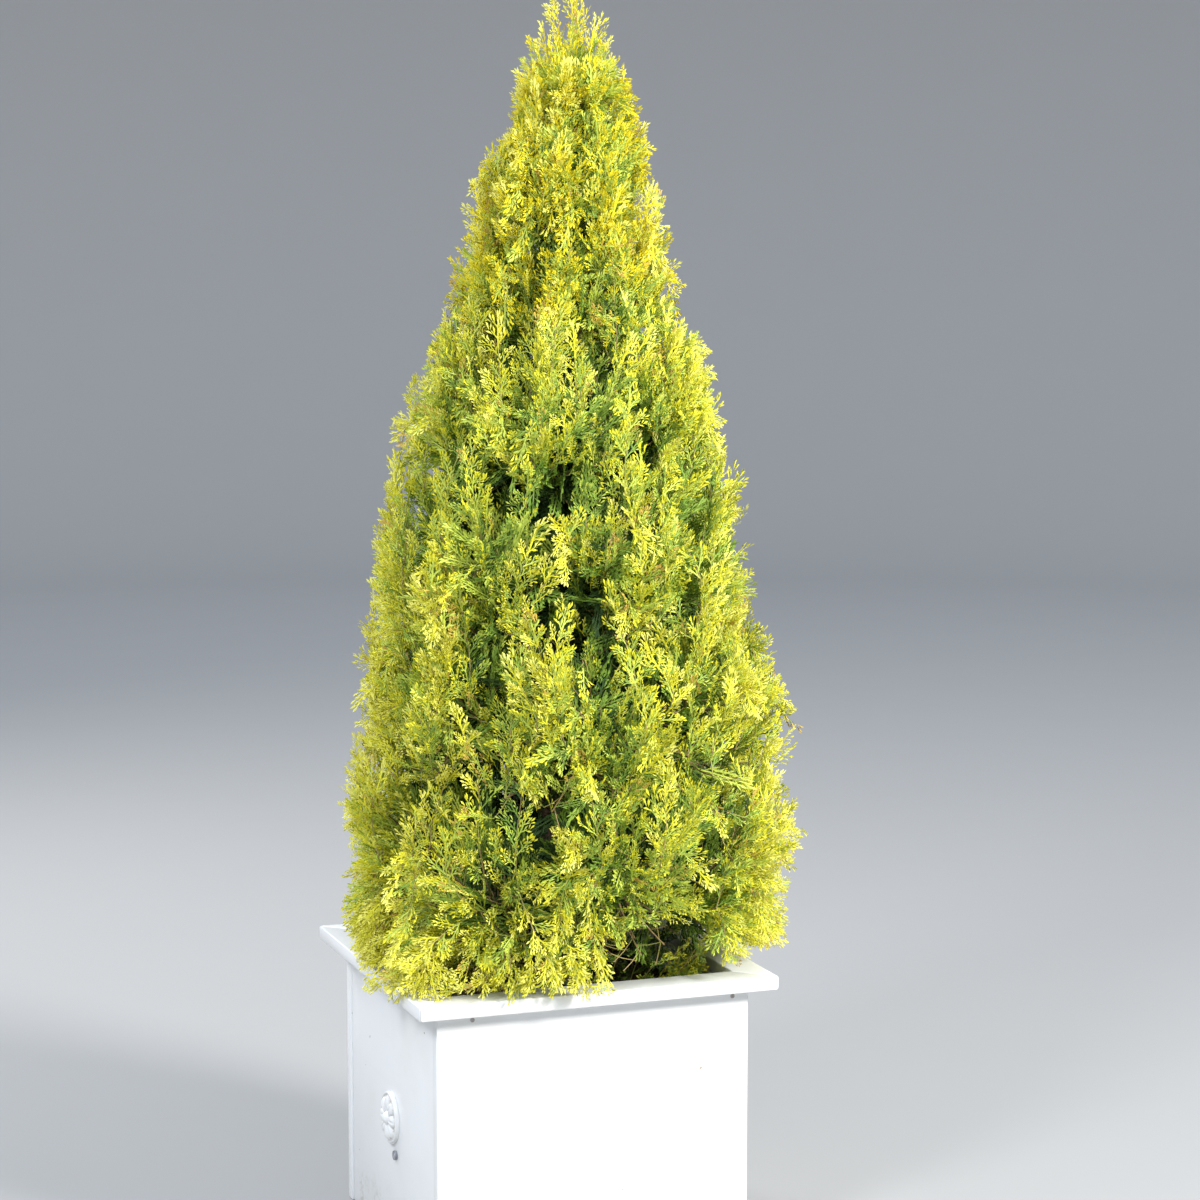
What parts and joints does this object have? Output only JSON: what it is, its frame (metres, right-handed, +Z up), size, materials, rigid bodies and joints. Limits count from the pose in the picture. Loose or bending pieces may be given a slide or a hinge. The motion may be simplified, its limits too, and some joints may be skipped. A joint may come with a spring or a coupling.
{
  "type": "potted golden arborvitae",
  "caption": "Golden arborvitae, a narrow cone of upright fan sprays, in a square white planter box with an overhanging rim and a rosette on each end.",
  "frame": {"origin": "centre of the planter's flat underside, on the ground", "axes": "+Z up along the trunk; +X to the right along the planter's front board; the front board faces -Y"},
  "size_m": [0.6979, 0.6888, 1.9701],
  "materials": {
    "white_paint": "satin white paint on wood",
    "plug_rubber": "matt",
    "potting_soil": "crumbly, matt",
    "bark": "fibrous, matt",
    "foliage_gold": "satin scale leaves",
    "foliage_lime": "satin scale leaves"
  },
  "bodies": {
    "root": {"planter_board_front": "white_paint", "planter_board_back": "white_paint", "planter_board_left": "white_paint", "planter_board_right": "white_paint", "planter_floor": "white_paint", "planter_rail_front": "white_paint", "planter_rail_right": "white_paint", "planter_rail_back": "white_paint", "planter_rail_left": "white_paint", "rosette_left": "white_paint", "rosette_right": "white_paint", "drain_plug": "plug_rubber", "soil": "potting_soil", "trunk": "bark", "bough_skirt_1": "bark", "bough_skirt_2": "bark", "bough_skirt_3": "bark", "bough_skirt_4": "bark", "bough_skirt_5": "bark", "bough_skirt_6": "bark", "bough_skirt_7": "bark", "bough_low_1": "bark", "bough_low_2": "bark", "bough_low_3": "bark", "bough_low_4": "bark", "bough_low_5": "bark", "bough_low_6": "bark", "bough_low_7": "bark", "mass_skirt_1": "foliage_gold", "mass_skirt_2": "foliage_gold", "mass_skirt_3": "foliage_gold", "mass_skirt_4": "foliage_gold", "mass_skirt_5": "foliage_gold", "mass_skirt_6": "foliage_gold", "mass_skirt_7": "foliage_gold", "mass_low_1": "foliage_gold", "mass_low_2": "foliage_gold", "mass_low_3": "foliage_gold", "mass_low_4": "foliage_gold", "mass_low_5": "foliage_gold", "mass_low_6": "foliage_gold", "mass_low_7": "foliage_gold", "mass_middle_1": "foliage_lime", "mass_middle_2": "foliage_lime", "mass_middle_3": "foliage_lime", "mass_middle_4": "foliage_lime", "mass_middle_5": "foliage_lime", "mass_middle_6": "foliage_lime", "mass_upper_1": "foliage_gold", "mass_upper_2": "foliage_gold", "mass_upper_3": "foliage_gold", "mass_upper_4": "foliage_gold", "mass_upper_5": "foliage_gold", "mass_shoulder_1": "foliage_gold", "mass_shoulder_2": "foliage_gold", "mass_shoulder_3": "foliage_gold", "mass_spire_1": "foliage_lime", "mass_spire_2": "foliage_lime", "mass_leader": "foliage_lime"}
  },
  "joints": []
}
